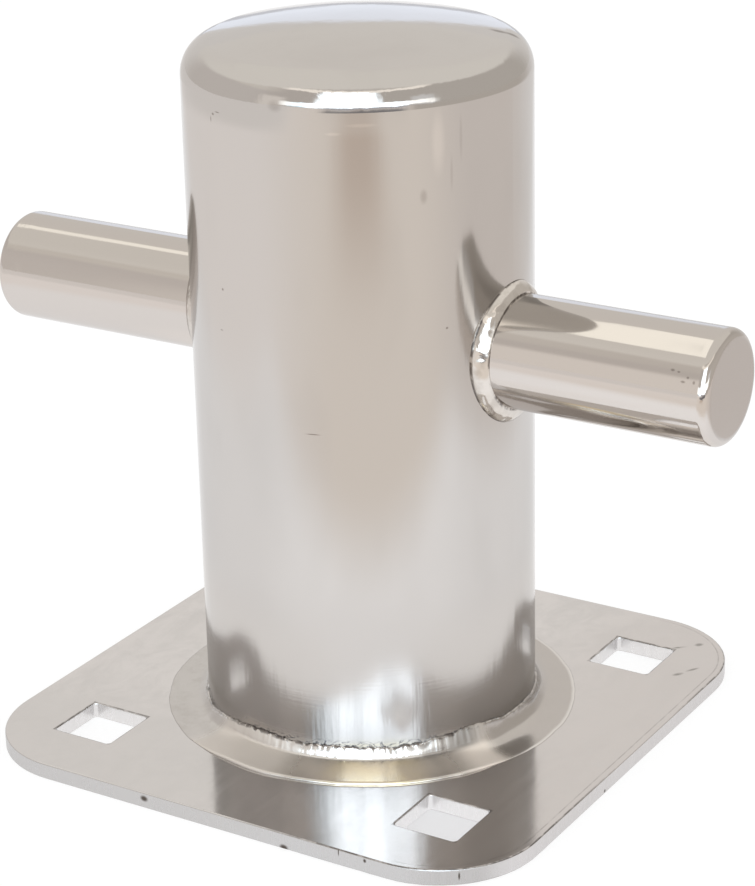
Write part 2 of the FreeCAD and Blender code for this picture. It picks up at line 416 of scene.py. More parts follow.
def post_colour(tree, place, height, clouds):
    """Polished steel, duller at its foot, its marks, and painted highlights, shade and weld reflections."""
    aside = towards(tree, place, RIGHT_SIDE)
    colour = tint(tree, ease(tree, clouds, 0.45, 0.7, 0.0, 0.6), POST_COLOUR, POST_DULL)
    colour = tint(tree, ease_mm(tree, height, DULL_FOOT_TOP), colour, POST_FOOT)
    # Painted shade near the foot weld's toe, strongest to the right.
    toe = both(tree, ease_mm(tree, height, TOE_TOP), ease_mm(tree, aside, TOE_TO_RIGHT, 0.3, 1.0))
    colour = tint(tree, toe, colour, POST_TOE_SHADE)
    # Marks, painted highlights and painted shade.
    for marks, strength, overlay_colour in OVERLAY_KINDS:
        for centre, half_sizes, turn in marks:
            overlay = calc(tree, "MULTIPLY", spot(tree, place, centre, half_sizes, turn), strength)
            colour = tint(tree, overlay, colour, overlay_colour)
    # Dark lines painted where the post mirrors the foot weld's ragged toe.
    wiggle = lines(tree, place, (620, 620, 900), 2.0, 0.5, 0.9)
    mirrored_weld = both(tree, ease(tree, apart(tree, wiggle, 0.5), 0.012, 0.045, 0.85, 0.0),
                    within_mm(tree, height, *WELD_REFLECTION_HEIGHTS),
                    ease_mm(tree, towards(tree, place, ROUGH_SIDE), WELD_REFLECTION_REACH))
    return tint(tree, mirrored_weld, colour, WELD_REFLECTION_PAINT)


def polished_post():
    """The post's material, worked along the tube, ground round near its foot and buffed on the cap."""
    material, tree, metal, place = steel("mirror_polished_post")
    height = parts_of(tree, place)["Z"]
    near_foot = ease_mm(tree, height, WORKED_FOOT_TOP)
    clouds = lines(tree, place, (60, 60, 25), 3.0, 0.5, 0.3)
    tree.links.new(post_colour(tree, place, height, clouds), metal.inputs["Base Color"])
    rough = blend(tree, near_foot, ease(tree, clouds, 0.35, 0.75, 0.10, 0.15), FOOT_ROUGHNESS)
    rough = blend(tree, ease_mm(tree, height, BUFFED_FROM), rough, CAP_ROUGHNESS)
    tree.links.new(rough, metal.inputs["Roughness"])

    ripples = lines(tree, place, (95, 95, 9), 2.0, 0.45)
    streaks = lines(tree, place, (420, 420, 6), 3.0, 0.55)
    ground = lines(tree, place, (150, 150, 22), 4.0, 0.6, 0.4)
    brushed = lines(tree, place, (430, 430, 24), 3.0, 0.55, 0.3)
    rings = lines(tree, place, (50, 50, 2600), 2.0, 0.5)
    worked = bumped(tree, metal, ripples, 0.05 * MM)
    worked = bumped(tree, metal, streaks, 0.016 * MM, worked)
    for pattern, depth in ((ground, 0.10), (brushed, 0.05), (rings, 0.006)):
        worked = bumped(tree, metal, both(tree, pattern, near_foot), depth * MM, worked)

    aside = towards(tree, place, RIGHT_SIDE)
    to_right = ease_mm(tree, aside, SKIRT_TO_RIGHT, 0.05, 0.2)
    to_left = ease_mm(tree, aside, SKIRT_TO_LEFT, 0.0, 0.2)
    skirt = both(tree, ease_mm(tree, height, SKIRT_HEIGHTS, 1.0, 0.0), calc(tree, "ADD", to_right, to_left))
    worked = bumped(tree, metal, skirt, 1.0 * MM, worked)
    facets = both(tree, grain(tree, place, 330.0, 2.0, 0.5, 0.6), within_mm(tree, height, *KNUCKLE_HEIGHTS),
                  ease_mm(tree, towards(tree, place, WINDOW_SIDE), KNUCKLE_REACH))
    bumped(tree, metal, facets, 0.05 * MM, worked)
    return material


post_finish = polished_post()
for node in ("post_tube", "post_cap", "cap_weld"):
    finish_node(node, post_finish)

# Cross bar.
# One solid round bar, 20 mm across, passes through the post and stands out on both sides.
# It is bright drawn stock, polished, with eased ends, and the flat of each end is a little duller.

BAR_COLOUR = (0.625, 0.585, 0.555, 1.0)
# Painted shade on the top of the bar.
BAR_TOP_SHADE = (0.55, 0.515, 0.485, 1.0)
BAR_END_COLOUR = (0.56, 0.53, 0.51, 1.0)
BAR_FAR_ROUGHNESS = 0.22
BAR_END_ROUGHNESS = 0.2

# The ends are filed from this far along each arm, in mm, as a soft edge.
FILED_FROM = (68.0, 70.0)

# Each bruise by the front end: where it is in mm, and its half sizes in mm.
BAR_BRUISES = (
    ((64.25, -8.69, 79.65), (0.55, 0.4, 0.30)),
    ((65.36, -8.76, 79.52), (0.40, 0.4, 0.22)),
    ((66.39, -9.37, 78.18), (0.60, 0.4, 0.30)),
    ((67.12, -9.08, 78.90), (0.35, 0.4, 0.30)),
    ((68.31, -9.32, 78.33), (0.35, 0.4, 0.45)),
)


def polished_bar():
    """The bar's material: drawn lines along it, duller on its far side and on the flats of its ends."""
    material, tree, metal, place = steel("polished_round_bar")
    facing = parts_of(tree, add(tree, "ShaderNodeNewGeometry").outputs["Normal"])
    end_face = ease(tree, calc(tree, "ABSOLUTE", facing["X"]), 0.93, 0.985)
    # Painted shade on the side facing up.
    colour = tint(tree, ease(tree, facing["Z"], 0.35, 0.75), BAR_COLOUR, BAR_TOP_SHADE)
    colour = tint(tree, end_face, colour, BAR_END_COLOUR)
    for centre, half_sizes in BAR_BRUISES:
        bruise = calc(tree, "MULTIPLY", spot(tree, place, centre, half_sizes), 0.65)
        colour = tint(tree, bruise, colour, MARK_AND_SHADE_COLOUR)
    tree.links.new(colour, metal.inputs["Base Color"])

    rough = ease(tree, grain(tree, place, 90.0, 3.0, 0.5), 0.3, 0.7, 0.05, 0.10)
    rough = blend(tree, ease(tree, facing["Y"], 0.0, 0.35), rough, BAR_FAR_ROUGHNESS)
    rough = blend(tree, end_face, rough, BAR_END_ROUGHNESS)
    tree.links.new(rough, metal.inputs["Roughness"])

    uneven = lines(tree, place, (60, 130, 130), 2.0, 0.4)
    drawn = lines(tree, place, (9, 520, 520), 3.0, 0.5)
    waves = bumped(tree, metal, uneven, 0.025 * MM)
    lined = bumped(tree, metal, drawn, 0.003 * MM, waves)
    reach = calc(tree, "ABSOLUTE", parts_of(tree, place)["X"])
    filed = both(tree, grain(tree, place, 560.0, 3.0, 0.6), ease_mm(tree, reach, FILED_FROM))
    bumped(tree, metal, filed, 0.03 * MM, lined)
    return material


finish_node("cross_bar", polished_bar())

# Bar welds.
# A bead of weld metal, about 2 mm wide, joins the bar to the post on each side. It was laid by hand
# round the saddle where they meet, then brushed, so it is smooth with soft ripples and uneven toes.

BAR_AXIS = Vector((0.0, 0.0, 74.7))
BAR_RADIUS = 10.0
POST_RADIUS = 30.15

# The bead in mm: how far it reaches on the post level with the bar, above it and below it, and how far it
# reaches on the bar, level and elsewhere. It bulges by a share of its width, and its seat is in the steel.
BEAD_ON_POST = (1.15, 2.2, 2.8)
BEAD_ON_BAR = (2.6, 1.55)
BEAD_BULGE = 0.14
BEAD_SEAT = 0.3
BEAD_START = math.radians(150.0)
BEAD_SECTIONS = 288
BEAD_FACE_POINTS = 15

WELD_COLOUR = (0.68, 0.64, 0.60, 1.0)
WELD_SHADE = (0.58, 0.54, 0.50, 1.0)
# Painted shade in the corners at the welds' toes.
TOE_SHADE_COLOUR = (0.17, 0.15, 0.14, 1.0)


def ring_mesh(name, sections, shares):
    """A closed ring from sections of points in mm. Shares are given for one section, or for every point."""
    mesh = bpy.data.meshes.new(name)
    count = len(sections)
    size = len(sections[0])
    points = [Vector(p) * MM for section in sections for p in section]
    faces = []
    for i in range(count):
        this = i * size
        following = (i + 1) % count * size
        for k in range(size):
            after = (k + 1) % size
            faces.append((this + k, following + k, following + after, this + after))
    mesh.from_pydata(points, [], faces)
    for share_name, values in shares.items():
        stored = mesh.attributes.new(share_name, "FLOAT", "POINT")
        stored.data.foreach_set("value", list(values) * (len(points) // len(values)))
    work = bmesh.new()
    work.from_mesh(mesh)
    bmesh.ops.recalc_face_normals(work, faces=work.faces)
    work.to_mesh(mesh)
    work.free()
    piece = bpy.data.objects.new(name, mesh)
    bpy.context.scene.collection.objects.link(piece)
    return piece


def bead_section(turn, side):
    """One section of the bead in mm, at an angle round the bar, from the post's toe to the bar's toe."""
    out = Vector((0.0, math.cos(turn), math.sin(turn)))
    along = Vector((side, 0.0, 0.0))
    level = math.cos(turn) ** 2
    up = max(0.0, math.sin(turn)) ** 2
    down = 1.0 - level - up
    on_post = BEAD_ON_POST[0] * level + BEAD_ON_POST[1] * up + BEAD_ON_POST[2] * down
    on_bar = BEAD_ON_BAR[0] * level + BEAD_ON_BAR[1] * (1.0 - level)
    reach = BAR_RADIUS + on_post
    post_x = math.sqrt(POST_RADIUS**2 - (reach * math.cos(turn)) ** 2)
    corner_x = math.sqrt(POST_RADIUS**2 - (BAR_RADIUS * math.cos(turn)) ** 2)
    post_toe = BAR_AXIS + out * reach + along * post_x
    bar_toe = BAR_AXIS + out * BAR_RADIUS + along * (corner_x + on_bar)
    corner = BAR_AXIS + out * BAR_RADIUS + along * corner_x
    chord = bar_toe - post_toe
    away = (post_toe + bar_toe) / 2 - corner
    away = (away - chord * (away.dot(chord) / chord.length_squared)).normalized()
    points = [post_toe - along * BEAD_SEAT]
    for step in range(BEAD_FACE_POINTS):
        t = step / (BEAD_FACE_POINTS - 1)
        swell = BEAD_BULGE * chord.length * math.sin(math.pi * t) ** 0.7
        points.append(post_toe + chord * t + away * swell)
    points.append(bar_toe - out * BEAD_SEAT)
    points.append(corner - (out + along) * BEAD_SEAT)
    return points


def share_of(tree, name):
    """A share stored on the mesh, for a Geometry Nodes tree."""
    return add(tree, "GeometryNodeInputNamedAttribute", {"Name": name}).outputs["Attribute"]


def new_shaper(name, sizes):
    """A Geometry Nodes tree with a geometry input, a named input for each size, and a geometry output."""
    tree = bpy.data.node_groups.new(name, "GeometryNodeTree")
    tree.interface.new_socket("Geometry", in_out="OUTPUT", socket_type="NodeSocketGeometry")
    tree.interface.new_socket("Geometry", in_out="INPUT", socket_type="NodeSocketGeometry")
    for size in sizes:
        tree.interface.new_socket(size, in_out="INPUT", socket_type="NodeSocketFloat")
    tree.interface.new_socket("Material", in_out="INPUT", socket_type="NodeSocketMaterial")
    start = add(tree, "NodeGroupInput")
    return tree, start.outputs


def close_shaper(tree, geometry, material):
    """Smooth shading, real geometry and the material at the end of a tree."""
    smooth = add(tree, "GeometryNodeSetShadeSmooth", {"Geometry": geometry}).outputs[0]
    real = add(tree, "GeometryNodeRealizeInstances", {"Geometry": smooth}).outputs[0]
    finished = add(tree, "GeometryNodeSetMaterial", {"Geometry": real, "Material": material}).outputs[0]
    add(tree, "NodeGroupOutput", {0: finished})


def shape_piece(piece, tree, values):
    """Runs the tree on the piece with its inputs set, and keeps the result as a plain mesh."""
    modifier = piece.modifiers.new(tree.name, "NODES")
    modifier.node_group = tree
    for item in tree.interface.items_tree:
        if item.in_out == "INPUT" and item.name in values:
            modifier[item.identifier] = values[item.name]
    evaluated = piece.evaluated_get(bpy.context.evaluated_depsgraph_get())
    shaped = bpy.data.meshes.new_from_object(evaluated)
    piece.modifiers.remove(modifier)
    piece.data = shaped


def scaled(tree, place, share):
    """A vector times a number."""
    return add(tree, "ShaderNodeVectorMath", {0: place, "Scale": share}, operation="SCALE").outputs[0]


def bead_shaper():
    """Ripples across the bead, and lumps that are high where the welder started, none at the toes."""
    tree, given = new_shaper("bead_shaper", ("Ripples round", "Ripple height", "Lump scale", "Lump height"))
    position = add(tree, "GeometryNodeInputPosition").outputs[0]
    normal = add(tree, "GeometryNodeInputNormal").outputs["Normal"]
    parts = parts_of(tree, position)
    turn = calc(tree, "ARCTAN2", calc(tree, "SUBTRACT", parts["Z"], BAR_AXIS.z * MM), parts["Y"])
    uneven = calc(tree, "MULTIPLY", grain(tree, position, 160.0, 2.0), 5.0)
    ripple = calc(tree, "ADD", calc(tree, "MULTIPLY", turn, given["Ripples round"]), uneven)
    ripple = both(tree, calc(tree, "SINE", ripple), given["Ripple height"])
    lumps = calc(tree, "SUBTRACT", grain(tree, position, given["Lump scale"], 3.0, 0.6), 0.5)
    from_start = calc(tree, "COSINE", calc(tree, "SUBTRACT", turn, BEAD_START))
    lumps = both(tree, lumps, ease(tree, from_start, 0.80, 0.94, 0.10, 1.0), given["Lump height"])
    rise = both(tree, calc(tree, "ADD", ripple, lumps), share_of(tree, "proud"))
    change = {"Geometry": given["Geometry"], "Offset": scaled(tree, normal, rise)}
    moved = add(tree, "GeometryNodeSetPosition", change).outputs[0]
    close_shaper(tree, moved, given["Material"])
    return tree


def painted_share(tree, name):
    """A share stored on the mesh, for a material."""
    return add(tree, "ShaderNodeAttribute", attribute_name=name).outputs["Fac"]


def brushed_weld():
    """The beads' material: cast metal brushed bright, with painted shade in the corners at its toes."""
    material, tree, metal, place = steel("brushed_weld_metal")
    clouds = grain(tree, place, 320.0, 3.0, 0.6)
    broken = grain(tree, place, 620.0, 2.0, 0.6)
    # Painted shade in the corners at the toes.
    toe = ease(tree, painted_share(tree, "proud"), 0.42, 0.08)
    toe = both(tree, toe, ease(tree, broken, 0.42, 0.56, 0.0, 0.9))
    colour = tint(tree, ease(tree, clouds, 0.4, 0.65), WELD_COLOUR, WELD_SHADE)
    tree.links.new(tint(tree, toe, colour, TOE_SHADE_COLOUR), metal.inputs["Base Color"])
    tree.links.new(ease(tree, clouds, 0.35, 0.7, 0.10, 0.20), metal.inputs["Roughness"])
    brushing = lines(tree, place, (700, 260, 700), 3.0, 0.6)
    bumped(tree, metal, brushing, 0.010 * MM)
    return material


def bar_weld(node, side, shaper, material):
    """The detailed bead on one side of the post, in place of the CAD node."""
    sections = [bead_section(math.tau * i / BEAD_SECTIONS, side) for i in range(BEAD_SECTIONS)]
    on_face = [math.sin(math.pi * k / (BEAD_FACE_POINTS - 1)) for k in range(BEAD_FACE_POINTS)]
    piece = ring_mesh(f"{node}_bead", sections, {"proud": [0.0, *on_face, 0.0, 0.0]})
    shape_piece(piece, shaper, {
        "Ripples round": 26.0,
        "Ripple height": 0.018 * MM,
        "Lump scale": 420.0,
        "Lump height": 0.5 * MM,
        "Material": material,
    })
    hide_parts(node)
    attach(piece, "root")


bead_tree = bead_shaper()
bead_finish = brushed_weld()
bar_weld("bar_weld_right", 1.0, bead_tree, bead_finish)
bar_weld("bar_weld_left", -1.0, bead_tree, bead_finish)

# Foot weld.
# A ring of weld metal joins the post to the plate. It was ground to a flat cone round its outside, which
# left a steep bright crest with a ragged edge against the post, and it keeps a straw tint from the heat. The
# crest's brightness in front and the straw tint where it faces the window are partly painted highlights.

# The ring in mm: its rim and its lip there, the radius and height where the cone turns up into the crest,
# and how far it seats in the post and the plate.
FOOT_RIM_RADIUS = 37.65
FOOT_LIP = 0.42
FOOT_SIDE_LIP = 0.05
FOOT_HOLLOW = 0.12
FOOT_BREAK = (31.12, 1.72)
FOOT_TOE_RADIUS = 30.42
FOOT_SEAT = 0.25
FOOT_SINK = 0.05
FOOT_RIM_STEP = 0.05
FOOT_RIM_ROUNDING = 0.12
FOOT_UNDERCUT = 0.1
FOOT_SECTIONS = 960
FOOT_CONE_POINTS = 13
FOOT_CREST_POINTS = 9

# The toe's height above the plate in mm, by bearing in degrees: 0 faces the window, and more is to its right.
TOE_HEIGHTS = (
    (-180, 1.7), (-90, 1.6), (-74, 1.7), (-63, 2.7), (-42, 3.8), (-28, 3.5), (12, 3.5), (25, 4.2), (38, 4.4),
    (50, 3.5), (64, 3.4), (76, 2.8), (110, 2.0), (180, 1.7),
)

GROUND_COLOUR = (0.63, 0.60, 0.56, 1.0)
GROUND_SHADE = (0.53, 0.50, 0.465, 1.0)
SIDE_COLOUR = (0.57, 0.55, 0.535, 1.0)
SIDE_SHADE = (0.52, 0.50, 0.48, 1.0)
# Painted shade on the ring's right side.
RIGHT_SIDE_SHADE = (0.50, 0.47, 0.445, 1.0)
# A highlight painted along the rim on the right.
RIM_HIGHLIGHT = (0.80, 0.78, 0.76, 1.0)
# The straw tint, painted bright as a highlight where it faces the window.
STRAW_HIGHLIGHT = (0.80, 0.72, 0.55, 1.0)
# A highlight painted on the crest in front, and painted shade on the crest to the right.
CREST_HIGHLIGHT = (0.74, 0.72, 0.70, 1.0)
CREST_SHADE = (0.42, 0.40, 0.38, 1.0)
# The matt zones' colours, painted lighter on the right.
MATT_LEFT = (0.72, 0.68, 0.64, 1.0)
MATT_RIGHT_LIT = (0.95, 0.89, 0.83, 1.0)
MATT_ROUGHNESS = 0.48

# The level direction where the straw tint is painted brightest as a highlight, and how far round the rough
# front of the ring goes.
STRAW_HIGHLIGHT_SIDE = (0.53, -0.85)
FRONT_FROM = 0.58
FRONT_SPAN = 0.27

# Reaches to the right of the post's axis, in mm, for the painted shade, highlight and matt colours. A pair is
# a soft edge.
SHADE_SIDE_FROM = (5.0, 22.0)
RIM_HIGHLIGHT_FROM = (0.0, 20.0)
MATT_CHANGES = (-5.0, 5.0)
CREST_SHADE_REACH = ((7.0, 10.0), (22.0, 16.0))


def toe_height(bearing):
    """The toe's height at a bearing, on a smooth curve through the heights given."""
    for (left, low), (right, high) in zip(TOE_HEIGHTS, TOE_HEIGHTS[1:]):
        if bearing <= right:
            share = (1 - math.cos(math.pi * (bearing - left) / (right - left))) / 2
            return low + (high - low) * share
    return TOE_HEIGHTS[-1][1]


def foot_section(front, toe):
    """
    The ring's section as (radius, height above the plate) in mm, with its toe, crest and rim shares.
    At the front it is a ground cone under a steep crest, and elsewhere one hollow sweep up to the toe.
    """
    lip = FOOT_SIDE_LIP + (FOOT_LIP - FOOT_SIDE_LIP) * front
    rim = FOOT_RIM_RADIUS - FOOT_RIM_ROUNDING

    def swept(radius, cone):
        inward = (rim - radius) / (rim - FOOT_TOE_RADIUS)
        sweep = FOOT_SIDE_LIP + (toe - FOOT_SIDE_LIP) * (0.1 * inward**2 + 0.9 * inward**7)
        return sweep + (cone - sweep) * front

    section = [
        (POST_RADIUS - FOOT_SEAT, -FOOT_SINK, 0.0, 0.0, 0.0),
        (FOOT_RIM_RADIUS - FOOT_UNDERCUT, -FOOT_SINK, 0.0, 0.0, 1.0),
        (FOOT_RIM_RADIUS, min(FOOT_RIM_STEP, lip / 2), 0.0, 0.0, 1.0),
    ]
    for step in range(FOOT_CONE_POINTS):
        t = step / (FOOT_CONE_POINTS - 1)
        radius = rim + (FOOT_BREAK[0] - rim) * t
        cone = lip + (FOOT_BREAK[1] - lip) * t - FOOT_HOLLOW * 4 * t * (1 - t)
        section.append((radius, swept(radius, cone), 0.0, t**6, 1.0 - t))
    for step in range(1, FOOT_CREST_POINTS):
        t = step / (FOOT_CREST_POINTS - 1)
        radius = FOOT_BREAK[0] + (FOOT_TOE_RADIUS - FOOT_BREAK[0]) * t**1.5
        cone = FOOT_BREAK[1] + (toe - FOOT_BREAK[1]) * t
        section.append((radius, swept(radius, cone), t * t, 1.0, 0.0))
    section.append((POST_RADIUS - FOOT_SEAT, toe - FOOT_SINK, 1.0, 0.0, 0.0))
    return section


def foot_shaper():
    """A ragged toe, a crest nicked across, a rim that wanders, and crumbs of metal along the toe."""
    sizes = ("Toe rise", "Toe nibble", "Crest nick", "Rim wander", "Crumb share", "Crumb size")
    tree, given = new_shaper("foot_shaper", sizes)
    position = add(tree, "GeometryNodeInputPosition").outputs[0]
    outward = vector(tree, "NORMALIZE", vector(tree, "MULTIPLY", position, (1, 1, 0)))
    ring = scaled(tree, outward, POST_RADIUS * MM)

    def wave(scale, detail, amount):
        centred = calc(tree, "SUBTRACT", grain(tree, ring, scale, detail, 0.6), 0.5)
        return calc(tree, "MULTIPLY", centred, amount)

    toe, crest, rim, front = (share_of(tree, name) for name in ("toe", "crest", "rim", "front"))
    nibble = both(tree, wave(620.0, 3.0, given["Toe nibble"]), ease(tree, front, 0.0, 1.0, 0.45, 1.0))
    rise = both(tree, calc(tree, "ADD", wave(90.0, 2.0, given["Toe rise"]), nibble), toe)
    nicks = both(tree, wave(1100.0, 3.0, given["Crest nick"]), crest, front)
    wander = both(tree, wave(55.0, 3.0, given["Rim wander"]), rim)
    sideways = scaled(tree, outward, calc(tree, "ADD", nicks, wander))
    upwards = add(tree, "ShaderNodeCombineXYZ", {"Z": rise}).outputs[0]
    change = {"Geometry": given["Geometry"], "Offset": vector(tree, "ADD", sideways, upwards)}
    moved = add(tree, "GeometryNodeSetPosition", change).outputs[0]

    chance = add(tree, "FunctionNodeRandomValue", {"Seed": 7}, data_type="FLOAT").outputs[1]
    at_toe = calc(tree, "GREATER_THAN", toe, 0.7)
    picked = both(tree, calc(tree, "LESS_THAN", chance, given["Crumb share"]), at_toe)
    spots = add(tree, "GeometryNodeMeshToPoints", {"Mesh": moved, "Selection": picked}).outputs[0]
    ball = {"Radius": given["Crumb size"], "Subdivisions": 2}
    crumb = add(tree, "GeometryNodeMeshIcoSphere", ball).outputs[0]
    spread = {0: (0.5, 0.5, 0.4), 1: (1.6, 1.6, 1.0), "Seed": 3}
    spread = add(tree, "FunctionNodeRandomValue", spread, data_type="FLOAT_VECTOR").outputs[0]
    crumbs = {"Points": spots, "Instance": crumb, "Scale": spread}
    scattered = add(tree, "GeometryNodeInstanceOnPoints", crumbs).outputs[0]
    whole = add(tree, "GeometryNodeJoinGeometry")
    tree.links.new(moved, whole.inputs[0])
    tree.links.new(scattered, whole.inputs[0])
    close_shaper(tree, whole.outputs[0], given["Material"])
    return tree


def ground_colour(tree, place, clouds, facing, matt):
    """Ground metal: straw tint in front, matt beside it, duller sides, nicked crest, painted highlights and
    shade.
    """
    toe, crest, rim, front = (painted_share(tree, name) for name in ("toe", "crest", "rim", "front"))
    aside = towards(tree, place, RIGHT_SIDE)
    cloudy = ease(tree, clouds, 0.4, 0.68)
    at_front = tint(tree, cloudy, GROUND_COLOUR, GROUND_SHADE)
    at_side = tint(tree, cloudy, SIDE_COLOUR, SIDE_SHADE)
    # Painted shade towards the right.
    at_side = tint(tree, ease_mm(tree, aside, SHADE_SIDE_FROM, 0.0, 0.85), at_side, RIGHT_SIDE_SHADE)
    # A highlight painted along the rim on the right.
    right_rim_highlight = both(tree, ease(tree, rim, 0.88, 0.98), ease_mm(tree, aside, RIM_HIGHLIGHT_FROM, 0.0, 0.7))
    at_side = tint(tree, right_rim_highlight, at_side, RIM_HIGHLIGHT)
    colour = tint(tree, front, at_side, at_front)
    # The straw tint, painted brightest as a highlight where it faces the window.
    straw = both(tree, ease(tree, facing, 0.955, 0.995), ease(tree, clouds, 0.3, 0.6, 0.55, 1.0))
    colour = tint(tree, straw, colour, STRAW_HIGHLIGHT)
    # The matt zones are painted lighter on the right.
    matt_colour = tint(tree, ease_mm(tree, aside, MATT_CHANGES), MATT_LEFT, MATT_RIGHT_LIT)
    colour = tint(tree, matt, colour, matt_colour)
    # A highlight painted on the crest in front, and painted shade on it to the right.
    on_crest = ease(tree, crest, 0.3, 0.9)
    crest_highlight = both(tree, on_crest, ease(tree, facing, 0.84, 0.95), front)
    colour = tint(tree, crest_highlight, colour, CREST_HIGHLIGHT)
    crest_shade = both(tree, on_crest, within_mm(tree, aside, *CREST_SHADE_REACH))
    colour = tint(tree, crest_shade, colour, CREST_SHADE)
    # Painted shade along the ragged toe.
    broken = ease(tree, grain(tree, place, 720.0, 2.0, 0.6), 0.44, 0.54, 0.0, 0.9)
    dark = both(tree, ease(tree, toe, 0.55, 0.9), broken, ease(tree, front, 0.0, 1.0, 0.35, 1.0))
    return tint(tree, dark, colour, TOE_SHADE_COLOUR)


def ground_weld():
    """The foot weld's material: ground round the post, and matt to both sides of the window's light."""
    material, tree, metal, place = steel("ground_weld_metal")
    around = vector(tree, "NORMALIZE", vector(tree, "MULTIPLY", place, (1, 1, 0)))
    facing = towards(tree, around, STRAW_HIGHLIGHT_SIDE)
    clouds = grain(tree, place, 210.0, 4.0, 0.65)
    matt = both(tree, ease(tree, facing, 0.955, 0.85), ease(tree, painted_share(tree, "front"), 0.0, 0.35))
    colour = ground_colour(tree, place, clouds, facing, matt)
    tree.links.new(colour, metal.inputs["Base Color"])
    rough = blend(tree, matt, ease(tree, clouds, 0.3, 0.7, 0.13, 0.22), MATT_ROUGHNESS)
    tree.links.new(rough, metal.inputs["Roughness"])
    waves = bumped(tree, metal, grain(tree, place, 130.0, 2.0, 0.5), 0.05 * MM)
    bumped(tree, metal, grain(tree, around, 60.0, 5.0, 0.7), 0.008 * MM, waves)
    return material


def foot_ring():
    """The whole ring as one closed mesh. Its front share is 1 on the rough side and 0 away from it."""
    rings = []
    fronts = []
    for i in range(FOOT_SECTIONS):
        bearing = 360 * i / FOOT_SECTIONS - 180
        turn = math.radians(bearing)
        ahead = [math.cos(turn) * w + math.sin(turn) * r for w, r in zip(WINDOW_SIDE, RIGHT_SIDE)]
        near = (ahead[0] * ROUGH_SIDE[0] + ahead[1] * ROUGH_SIDE[1] - FRONT_FROM) / FRONT_SPAN
        near = min(1.0, max(0.0, near))
        front = near * near * (3 - 2 * near)
        section = foot_section(front, toe_height(bearing))
        rings.append([(r * ahead[0], r * ahead[1], PLATE_TOP / MM + h) for r, h, *_ in section])
        fronts.extend([front] * len(section))
    shares = {name: [point[k] for point in section] for k, name in ((2, "toe"), (3, "crest"), (4, "rim"))}
    return ring_mesh("foot_weld_ring", rings, {**shares, "front": fronts})


foot_weld = foot_ring()
shape_piece(foot_weld, foot_shaper(), {
    "Toe rise": 1.2 * MM,
    "Toe nibble": 1.3 * MM,
    "Crest nick": 0.36 * MM,
    "Rim wander": 1.6 * MM,
    "Crumb share": 0.05,
    "Crumb size": 0.16 * MM,
    "Material": ground_weld(),
})
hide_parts("foot_weld")
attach(foot_weld, "root")

# Studio.
# A pale floor that runs to a white surround, a wide window with net curtains beside the camera, and
# two lamps under a plain ceiling. The walls are a soft grey, which is what the steel reflects.

CAMERA_PLACE = Vector((246.3, -391.9, 234.4)) * MM
CAMERA_HEADING = math.radians(31.9)
CAMERA_PITCH = math.radians(21.525)
CAMERA_ROLL = math.radians(-1.312)
CAMERA_LENS = 112.94

WHITE = (1.0, 1.0, 1.0, 1.0)
PLAIN_LEVEL = 0.85
WALL_LEFT = (0.86, 0.82, 0.76, 1.0)
WALL_LEFT_LOW = (0.76, 0.72, 0.685, 1.0)
WALL_FRONT = (0.67, 0.63, 0.59, 1.0)
WALL_RIGHT = (0.65, 0.615, 0.57, 1.0)
WALL_BEHIND = (0.95, 0.915, 0.87, 1.0)
LOW_BEHIND = (0.92, 0.89, 0.86, 1.0)
GLOW_BEHIND = (1.19, 1.25, 1.37, 1.0)
HORIZON_BEHIND = (0.74, 0.75, 0.80, 1.0)
SIDE_GLOW = (0.95, 0.90, 0.85, 1.0)
RIGHT_GLOW = (0.88, 0.88, 0.88, 1.0)
CEILING = (0.97, 0.94, 0.885, 1.0)
CORNICE = (1.35, 1.28, 1.18, 1.0)
PELMET = (2.2, 2.15, 2.0, 1.0)
SILL = (1.9, 1.93, 1.9, 1.0)
WINDOW_GLOW = (3.8, 4.3, 4.7, 1.0)
WINDOW_EDGE_GLOW = (1.9, 2.6, 3.1, 1.0)
UNDER_WINDOW = (0.42, 0.42, 0.47, 1.0)
FLOOR_LEFT = (1.03, 0.98, 0.95, 1.0)
FLOOR_FRONT = (0.945, 0.86, 0.775, 1.0)
FLOOR_RIGHT = (0.78, 0.71, 0.66, 1.0)
FLOOR_BACK_RIGHT = (0.93, 0.90, 0.88, 1.0)
FLOOR_BEHIND = (0.80, 0.79, 0.79, 1.0)
FLOOR_DEEP = (0.63, 0.49, 0.38, 1.0)
FLOOR_FAR_RIGHT = (0.52, 0.465, 0.405, 1.0)
FLOOR_FAR_LEFT = (0.88, 0.84, 0.81, 1.0)
FLOOR_EDGE = (0.0, 0.0, 0.02, 1.0)
FLOOR_NEAR = (1.14, 1.125, 1.115, 1.0)
FLOOR_MATT = (0.27, 0.27, 0.27, 1.0)
FLOOR_GLOW = 0.80
PAPER = (1.20, 1.20, 1.21, 1.0)
PAPER_SIDE = (1.07, 1.065, 1.07, 1.0)
# A painted shadow on the floor, seen through the front bolt hole.
UNDER_HOLE_SHADOW = (0.73, 0.725, 0.735, 1.0)

